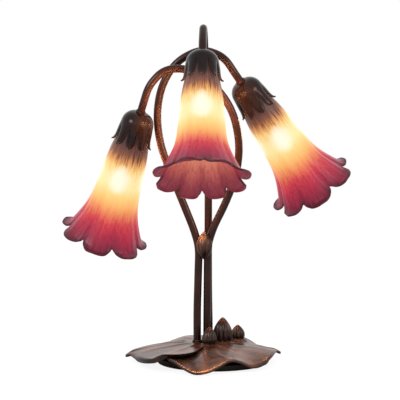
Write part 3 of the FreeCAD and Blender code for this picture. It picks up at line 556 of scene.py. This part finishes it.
def tie_wear(spot):
    way = spot - TIE_PLACE
    lap = petal_overlap(math.atan2(way.y, way.x))
    return ease((lap - 0.55) / 0.35) * 0.5 + ease((abs(way.z) / TIE_HEIGHT - 0.36) / 0.12) * 0.35


tie = formed_grid("tie_bud_casting", 140, 48, tie_point)
mark(tie, "wear", tie_wear)
tie_bronze = bronze("tie_bronze", TIE_DARK, TIE_BROWN, TIE_COPPER, 0.34, wear="wear")
fit(tie, "root", "bud_bronze", tie_bronze, "tie_bud")

# ---- Petal calyxes ------------------------------------------------------------------------------
# Each light hangs in a spun bronze cup that is slit into nine petals. The petals hug the glass and
# flick outwards at their rounded tips.

# The top of each light and the way that its mouth points, in mm.
LIGHTS = {
    "left": (Vector((-87.6, 3.7, 302.3)), Vector((-0.286, 0.334, -0.897)).normalized()),
    "right": (Vector((34.0, 23.3, 340.1)), Vector((0.546, 0.362, -0.754)).normalized()),
    "center": (Vector((-12.9, -28.9, 372.2)), Vector((-0.010, -0.446, -0.895)).normalized()),
}
# Depth below the light's top and outer radius, in mm.
CALYX_OUTLINE = [
    (0.0, 4.2),
    (0.2, 7.0),
    (1.1, 10.6),
    (2.8, 13.8),
    (5.6, 16.6),
    (9.0, 18.6),
    (13.0, 19.7),
    (20.0, 20.4),
    (27.0, 21.1),
    (31.0, 21.5),
    (34.5, 22.0),
    (37.5, 22.9),
    (39.3, 23.8),
    (40.2, 24.6),
    (40.6, 25.2),
]
CALYX_DEPTH = CALYX_OUTLINE[-1][0]
CALYX_PETALS = 9
PETAL_THICKNESS = 1.1
# Where the slits start, half their width there, how much that widens and over what depth, and
# where the petals begin to round off to their tips, in mm.
SLIT_START = 17.0
SLIT_HALF = 0.22
SLIT_WIDENING = 1.25
SLIT_RUN = 14.0
TIP_START = 28.0
CALYX_DARK = paint(22, 14, 15)
CALYX_BROWN = paint(38, 23, 19)
CALYX_COPPER = paint(96, 50, 28)


def light_frame(light):
    """Turns a piece drawn down +Z, with +X to the viewer's side, to hang from its tube's end."""
    top, way = LIGHTS[light]
    front = Vector((0, -1, 0))
    front = (front - way * front.dot(way)).normalized()
    side = way.cross(front)
    turn = Matrix((front, side, way)).transposed().to_4x4()
    return Matrix.Translation(top * MM) @ turn


def place_light_piece(piece, light):
    """Moves a piece's mesh into its light's place and leaves its object at the origin."""
    piece.data.transform(light_frame(light))
    piece.data.update()


def face_outwards(piece):
    """Turns an open shell's faces away from its own axis, so that its wall is built inwards."""
    away = sum(
        face.area * (face.normal.x * face.center.x + face.normal.y * face.center.y)
        for face in piece.data.polygons
    )
    if away < 0:
        piece.data.flip_normals()


def petal_point(u, v):
    """One petal of the cup, from the tube's hole to its tip."""
    depth, radius = along_table(CALYX_OUTLINE, v * (len(CALYX_OUTLINE) - 1))
    across = 2 * u - 1
    half = math.pi / CALYX_PETALS
    if depth > SLIT_START:
        gap = SLIT_HALF + SLIT_WIDENING * ease((depth - SLIT_START) / SLIT_RUN)
        half -= gap / radius
    tip = min(max((depth - TIP_START) / (CALYX_DEPTH - TIP_START), 0), 1)
    half *= math.sqrt(max(1 - tip**2.6, 0.0003))
    free = ease((depth - SLIT_START + 4) / 12)
    radius += 0.5 * free * (1 - abs(across) ** 1.6) - 0.75 * free * across**4
    turn = across * half
    return (radius * math.cos(turn), radius * math.sin(turn), depth)


def calyx_wear(spot):
    turn = math.atan2(spot.y, spot.x) % (math.tau / CALYX_PETALS)
    edge = abs(turn - math.pi / CALYX_PETALS) / (math.pi / CALYX_PETALS)
    sides = ease((1 - edge - 0.8) / 0.2) * ease((spot.z - 18) / 8) * 0.3
    return ease((spot.z - 36) / 8) * 0.4 + sides


for light in LIGHTS:
    petal = formed_grid(f"calyx_cup_{light}", 14, 66, petal_point, joined=False)
    petals = [petal]
    for number in range(1, CALYX_PETALS):
        twin = petal.copy()
        twin.data = petal.data.copy()
        twin.data.transform(Matrix.Rotation(math.tau * number / CALYX_PETALS, 4, "Z"))
        bpy.context.collection.objects.link(twin)
        petals.append(twin)
    bpy.ops.object.select_all(action="DESELECT")
    for twin in petals:
        twin.select_set(True)
    bpy.context.view_layer.objects.active = petal
    bpy.ops.object.join()
    bpy.ops.object.mode_set(mode="EDIT")
    bpy.ops.mesh.select_all(action="SELECT")
    bpy.ops.mesh.remove_doubles(threshold=2e-5)
    bpy.ops.mesh.normals_make_consistent(inside=False)
    bpy.ops.object.mode_set(mode="OBJECT")
    face_outwards(petal)
    mark(petal, "wear", calyx_wear)
    wall = petal.modifiers.new("wall", "SOLIDIFY")
    wall.thickness = PETAL_THICKNESS * MM
    wall.offset = -1
    bpy.ops.object.modifier_apply(modifier=wall.name)
    bpy.ops.object.shade_smooth_by_angle(angle=math.radians(40))
    place_light_piece(petal, light)
    calyx_bronze = bronze(
        f"calyx_bronze_{light}",
        CALYX_DARK,
        CALYX_BROWN,
        CALYX_COPPER,
        0.16,
        metal=0.55,
        wear="wear",
        grain=0.15,
    )
    fit(petal, "root", "calyx_bronze", calyx_bronze, f"calyx_{light}")

# ---- Sockets and bulbs --------------------------------------------------------------------------
# Inside each cup a moulded socket holds a brass screw shell and its contact. A slim candelabra bulb
# screws into it, and a moulded ring clamps the glass against the socket's shoulder.
brass = plain("drawn_brass", paint(214, 178, 104), paint(186, 142, 74), 0.25, metal=1.0, scale=90.0)
phenolic = plain("brown_phenolic", paint(36, 26, 22), paint(22, 17, 15), 0.42)
sleeve = plain("gold_sleeve", paint(158, 132, 74), paint(128, 104, 56), 0.4)
bulb_glass = plain("lit_bulb_glass", paint(255, 246, 226), paint(255, 236, 200), 0.12)
bulb_light = {"Emission Color": paint(255, 232, 184), "Emission Strength": 2.2}
bulb_glass.feed(bulb_glass.shader, bulb_light)
filament = plain("filament_mount", paint(255, 214, 140), paint(255, 190, 110), 0.3)
filament_light = {"Emission Color": paint(255, 214, 140), "Emission Strength": 4.0}
filament.feed(filament.shader, filament_light)
for light in LIGHTS:
    dress(phenolic, f"socket_body_{light}", f"shade_ring_{light}")
    dress(brass, f"socket_shell_{light}", f"socket_contact_{light}", f"bulb_cap_{light}")
    dress(sleeve, f"stem_wire_{light}")
    dress(bulb_glass, f"bulb_glass_{light}")
    dress(filament, f"bulb_filament_{light}")
dress(phenolic, "terminal_block")

# ---- Tulip glasses ------------------------------------------------------------------------------
# Blown art glass in the form of a lily, coloured as it looks with its bulb lit: dark brown under
# the cup, where shade is painted, amber round the bulb, where its glow is painted, then rose to a
# mouth of soft petals. The colour also feeds the emission, a painted glow of the bulb shining
# through. The maker pinches the hot rim between petals and rolls it outwards.

# Depth below the light's top and outer radius, in mm: the pull points of a smooth curve. From its
# end the lip turns on outwards.
GLASS_OUTLINE = [
    (9.9, 13.4),
    (9.8, 15.0),
    (11.6, 17.7),
    (21.6, 18.4),
    (34.6, 19.8),
    (50.0, 23.6),
    (76.8, 26.4),
    (103.7, 27.8),
    (123.2, 30.0),
    (139.0, 33.8),
    (151.0, 38.6),
    (160.0, 42.6),
    (164.5, 45.0),
]
GLASS_WALL = 2.4
# The depths where the ruffle starts and where it is full, and the one that the chart counts as 1.
RUFFLE_START = 96.0
GLASS_LENGTH = 168.0
GLASS_CHART = 180.0
# The middle glass is shorter than the other two by this much at its rim, in mm.
RIM_LIFT = {"left": 0.0, "right": 0.0, "center": 8.0}
# The lip: where v gives way to it, its length in mm, how it leans where it starts, and how far it
# turns along that length, in radians: inwards at a pinch, and outwards by the curl on a petal.
LIP_START = 0.87
LIP_RUN = 10.5
LIP_LEAN = math.atan2(
    GLASS_OUTLINE[-1][1] - GLASS_OUTLINE[-2][1], GLASS_OUTLINE[-1][0] - GLASS_OUTLINE[-2][0]
)
LIP_TUCK = -0.35
LIP_CURL = 1.75
# How far a petal swells out and hangs down at the rim, the share of a petal that stays in place,
# and the fine ribs along the glass.
PETAL_SWELL = 6.6
PETAL_DROP = 6.4
PETAL_LEVEL = 0.62
RIB_DEPTH = 0.22
RIBS = 29
# A painted bright spot of the bulb seen through the glass, on the glass's chart: where it lies and
# how far it reaches.
HOT_PLACE = 0.455
HOT_REACH = 0.10
HOT_SIDE = 0.85
# The pinches between petals, in degrees round from the side that faces the viewer.
PINCHES = {
    "left": (-128, -76, -22, 29, 78, 130, 181),
    "right": (-129, -76, -20, 34, 82, 132, 182),
    "center": (-139, -96, -51, -5, 41, 92, 144, 182),
}


def pulled(points, share):
    """A uniform cubic B-spline drawn by its pull points and held at both ends."""
    held = [points[0], points[0]] + list(points) + [points[-1], points[-1]]
    place = share * (len(held) - 3)
    index = min(int(place), len(held) - 4)
    t = place - index
    weights = (
        (1 - t) ** 3 / 6,
        (3 * t**3 - 6 * t**2 + 4) / 6,
        (-3 * t**3 + 3 * t**2 + 3 * t + 1) / 6,
        t**3 / 6,
    )
    return [sum(w * held[index + k][axis] for k, w in enumerate(weights)) for axis in (0, 1)]


def petal_share(light, turn):
    """0 at a pinch and 1 in the middle of a petal, with the petal's own number."""
    pinches = PINCHES[light]
    bounds = pinches + (pinches[0] + 360,)
    degrees = math.degrees(turn)
    if degrees >= bounds[-1]:
        degrees -= 360
    number = sum(degrees >= pinch for pinch in pinches) - 1
    low, high = bounds[number], bounds[number + 1]
    return math.sin(math.pi * (degrees - low) / (high - low)) ** 0.6, number


def glass_point(light, u, v):
    """A point of the glass's outer face: u runs round it and v from its neck to its rim."""
    turn = math.tau * u
    depth, radius = pulled(GLASS_OUTLINE, min(v / LIP_START, 1.0))
    petal, number = petal_share(light, turn)
    whim = math.sin(2.3 * number + len(light))
    share = ease((depth - RUFFLE_START) / (GLASS_LENGTH - RUFFLE_START))
    if v > LIP_START:
        reach = LIP_RUN * (v - LIP_START) / (1 - LIP_START) * (0.55 + 0.45 * petal)
        bend = (LIP_TUCK + (LIP_CURL + 0.35 * whim) * petal**1.4) / LIP_RUN
        bend = bend if abs(bend) > 1e-4 else 1e-4
        depth += (math.sin(LIP_LEAN + bend * reach) - math.sin(LIP_LEAN)) / bend
        radius += (math.cos(LIP_LEAN) - math.cos(LIP_LEAN + bend * reach)) / bend
    radius += PETAL_SWELL * (1 + 0.2 * whim) * share**1.4 * (petal - PETAL_LEVEL)
    drop = PETAL_DROP * (1 + 0.4 * whim) * share**2 * (petal - PETAL_LEVEL)
    depth += drop - RIM_LIFT[light] * share
    radius += RIB_DEPTH * share * math.sin(RIBS * turn + number)
    return (radius * math.cos(turn), radius * math.sin(turn), depth)


def chart_depth(v):
    """How far down the glass v lies, as its chart gives it: 1 stands for GLASS_CHART mm."""
    lip = max(v - LIP_START, 0) / (1 - LIP_START) * LIP_RUN
    return (pulled(GLASS_OUTLINE, min(v / LIP_START, 1.0))[0] + lip) / GLASS_CHART


def art_glass(name, bands, glow, streak):
    """Glass coloured in bands down its length and feathered by fine streaks. Its colour also drives
    the emission, a painted glow of the bulb inside, with painted shade threads near the cup and a
    painted bright spot of the bulb.
    """
    finish = Finish(name, {"Specular IOR Level": 0.22, "Emission Strength": glow})
    chart = finish.node("ShaderNodeTexCoord", {}, {}, "UV")
    parts = finish.tree.nodes.new("ShaderNodeSeparateXYZ")
    finish.feed(parts, {"Vector": chart})
    around, down = Wire(finish, parts.outputs["X"]) * math.tau, Wire(finish, parts.outputs["Y"])
    ring = {"X": around.maths("COSINE", around), "Y": around.maths("SINE", around), "Z": down * 1.6}
    spot = finish.node("ShaderNodeCombineXYZ", {}, ring)
    fine = finish.clouds(19.0, detail=5.0, rough=0.7, at=spot, stretch=(1.0, 1.0, 0.28))
    broad = finish.clouds(4.0, detail=4.0, rough=0.6, at=spot, stretch=(1.0, 1.0, 0.6))
    swirled = {"Vector": spot, "Scale": 8.0, "Detail": 4.0, "Distortion": 2.2}
    swirl = finish.node("ShaderNodeTexNoise", {}, swirled, 0)
    feathered = down + (fine - 0.5) * streak + (broad - 0.5) * 0.06
    stops = [(depth / GLASS_CHART, colour) for depth, colour in bands]
    colour = finish.node("ShaderNodeValToRGB", {"stops": stops}, {0: feathered})
    # Painted shade: dark threads on the glass just below the cup.
    painted_shade_threads = fine.fade(0.50, 0.38) * down.fade(0.40, 0.30) * 0.55
    colour = finish.blend(painted_shade_threads, colour, paint(44, 24, 20))
    flames = swirl.fade(0.52, 0.40) * down.fade(0.62, 0.80) * 0.5
    flames = flames + fine.fade(0.50, 0.40) * down.fade(0.34, 0.42) * 0.14
    colour = finish.blend(flames, colour, finish.blend(0.6, colour, paint(104, 22, 40)))
    # A painted bright spot where the bulb shows through, painted four times round the glass.
    height = (down - HOT_PLACE) / HOT_REACH
    side = around.maths("SINE", around * 2.0) / HOT_SIDE
    painted_bulb_spot = (height * height + side * side).fade(1.5, 0.0)
    colour = finish.blend(painted_bulb_spot * (0.5 + fine * 0.6), colour, paint(255, 254, 236))
    finish.feed(
        finish.shader,
        {
            "Base Color": finish.blend(0.8, colour, paint(34, 16, 16)),
            "Emission Color": colour,
            "Roughness": 0.20 + fine * 0.14,
        },
    )
    finish.bump(fine, 0.0006, 0.5)
    return finish


# Depth below the light's top, in mm, and the colour there when lit. The dark bands near the top are
# painted shade under the cup, and the pale amber bands are the bulb's painted glow.
OUTSIDE_BANDS = [
    (18, paint(26, 16, 14)),
    (30, paint(58, 37, 34)),
    (44, paint(104, 68, 60)),
    (52, paint(146, 92, 64)),
    (59, paint(220, 150, 92)),
    (67, paint(250, 206, 128)),
    (78, paint(254, 232, 166)),
    (92, paint(254, 236, 172)),
    (104, paint(254, 214, 132)),
    (116, paint(252, 182, 106)),
    (127, paint(238, 132, 88)),
    (138, paint(214, 66, 74)),
    (150, paint(182, 42, 68)),
    (161, paint(146, 34, 62)),
    (169, paint(112, 28, 52)),
    (174, paint(70, 16, 32)),
]
# The same for the inner face, painted as lit by the bulb.
INSIDE_BANDS = [
    (50, paint(255, 226, 170)),
    (97, paint(254, 210, 156)),
    (127, paint(240, 152, 124)),
    (146, paint(202, 102, 94)),
    (161, paint(154, 60, 72)),
    (173, paint(124, 40, 58)),
]
glass_outside = art_glass("tulip_glass_outside", OUTSIDE_BANDS, 0.88, 0.15)
glass_inside = art_glass("tulip_glass_inside", INSIDE_BANDS, 0.70, 0.10)
for light in LIGHTS:
    glass = formed_grid(
        f"tulip_glass_{light}", 252, 96, lambda u, v, light=light: glass_point(light, u, v)
    )
    face_outwards(glass)
    for corner in glass.data.uv_layers.active.data:
        corner.uv.y = chart_depth(corner.uv.y)
    glass.data.materials.append(glass_outside.material)
    glass.data.materials.append(glass_inside.material)
    wall = glass.modifiers.new("wall", "SOLIDIFY")
    wall.thickness = GLASS_WALL * MM
    wall.offset = -1
    wall.material_offset = 1
    wall.material_offset_rim = 0
    bpy.ops.object.modifier_apply(modifier=wall.name)
    place_light_piece(glass, light)
    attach(glass, f"shade_{light}")
    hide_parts(f"shade_glass_{light}")

# ---- Room, lamps and camera ---------------------------------------------------------------------
# A plain white floor and background, two soft boxes, and the warm light that the bulbs throw on
# the metal round them. That light stays where the bulbs are at rest.
CAMERA_PLACE = Vector((-15.83, -1498.09, 272.29)) * MM
CAMERA_PITCH = math.radians(2.89)
CAMERA_LENS = 111.6
FLOOR_GLOW = 1.24
FLOOR_GLOW_SHARE = 0.72
ROOM_LEVEL = 0.55
BULB_DEPTH = 70.0
BULB_WATTS = 3.6

bpy.ops.object.select_all(action="DESELECT")
bpy.ops.mesh.primitive_circle_add(vertices=96, radius=3.0, fill_type="NGON")
floor = bpy.context.object
floor.name = "floor"
white = Finish("white_paper", {"Base Color": (0.86, 0.86, 0.86, 1.0), "Roughness": 0.9})
lit = white.node("ShaderNodeEmission", {}, {"Color": (1, 1, 1, 1), "Strength": FLOOR_GLOW})
rays = white.tree.nodes.new("ShaderNodeLightPath")
seen = Wire(white, rays.outputs["Is Camera Ray"]) * FLOOR_GLOW_SHARE
paper = Wire(white, white.shader.outputs[0])
cover = white.node("ShaderNodeMixShader", {}, {0: seen, 1: paper, 2: lit})
white.tree.links.new(cover.socket, white.tree.nodes["Material Output"].inputs["Surface"])
floor.data.materials.append(white.material)

world = bpy.data.worlds.new("room")
bpy.context.scene.world = world
world.use_nodes = True
tree = world.node_tree
background = tree.nodes["Background"]
path = tree.nodes.new("ShaderNodeLightPath")
total = tree.nodes.new("ShaderNodeMath")
total.operation = "MAXIMUM"
tree.links.new(path.outputs["Is Camera Ray"], total.inputs[0])
tree.links.new(path.outputs["Is Transmission Ray"], total.inputs[1])
glossy = tree.nodes.new("ShaderNodeMath")
glossy.operation = "MAXIMUM"
tree.links.new(total.outputs[0], glossy.inputs[0])
tree.links.new(path.outputs["Is Glossy Ray"], glossy.inputs[1])
level = tree.nodes.new("ShaderNodeMapRange")
level.inputs["To Min"].default_value = ROOM_LEVEL
level.inputs["To Max"].default_value = 1.0
tree.links.new(glossy.outputs[0], level.inputs["Value"])
tree.links.new(level.outputs[0], background.inputs["Strength"])
background.inputs["Color"].default_value = (1.0, 1.0, 1.0, 1.0)


def soft_box(name, place, aim, size, watts, colour):
    """A square soft box that looks at a point of the lamp."""
    lamp = bpy.data.lights.new(name, "AREA")
    lamp.size = size
    lamp.energy = watts
    lamp.color = colour
    box = bpy.data.objects.new(name, lamp)
    box.location = place
    box.rotation_euler = (Vector(aim) - Vector(place)).to_track_quat("-Z", "Y").to_euler()
    bpy.context.collection.objects.link(box)


soft_box("key_box", (-0.9, -0.9, 0.9), (0, 0, 0.18), 0.5, 7.0, (0.92, 0.96, 1.0))
soft_box("side_box", (1.0, -0.7, 0.7), (0, 0, 0.18), 0.5, 4.0, (1.0, 0.98, 0.95))

near_bulbs = bpy.data.collections.new("near_bulbs")
bpy.context.scene.collection.children.link(near_bulbs)
for piece in list(bpy.data.objects):
    if piece.type == "MESH" and "glass" not in piece.name and piece is not floor:
        near_bulbs.objects.link(piece)
for light, (top, way) in LIGHTS.items():
    glow = bpy.data.lights.new(f"bulb_glow_{light}", "POINT")
    glow.energy = BULB_WATTS
    glow.color = (1.0, 0.56, 0.26)
    glow.shadow_soft_size = 0.018
    lamp = bpy.data.objects.new(f"bulb_glow_{light}", glow)
    lamp.location = (top + way * BULB_DEPTH) * MM
    bpy.context.collection.objects.link(lamp)
    lamp.light_linking.receiver_collection = near_bulbs
    lamp.light_linking.blocker_collection = near_bulbs

view = bpy.data.cameras.new("camera")
view.lens = CAMERA_LENS
view.clip_end = 20.0
camera = bpy.data.objects.new("camera", view)
camera.location = CAMERA_PLACE
camera.rotation_euler = (math.radians(90) - CAMERA_PITCH, 0, 0)
bpy.context.collection.objects.link(camera)
bpy.context.scene.camera = camera
bpy.context.scene.view_settings.view_transform = "Standard"
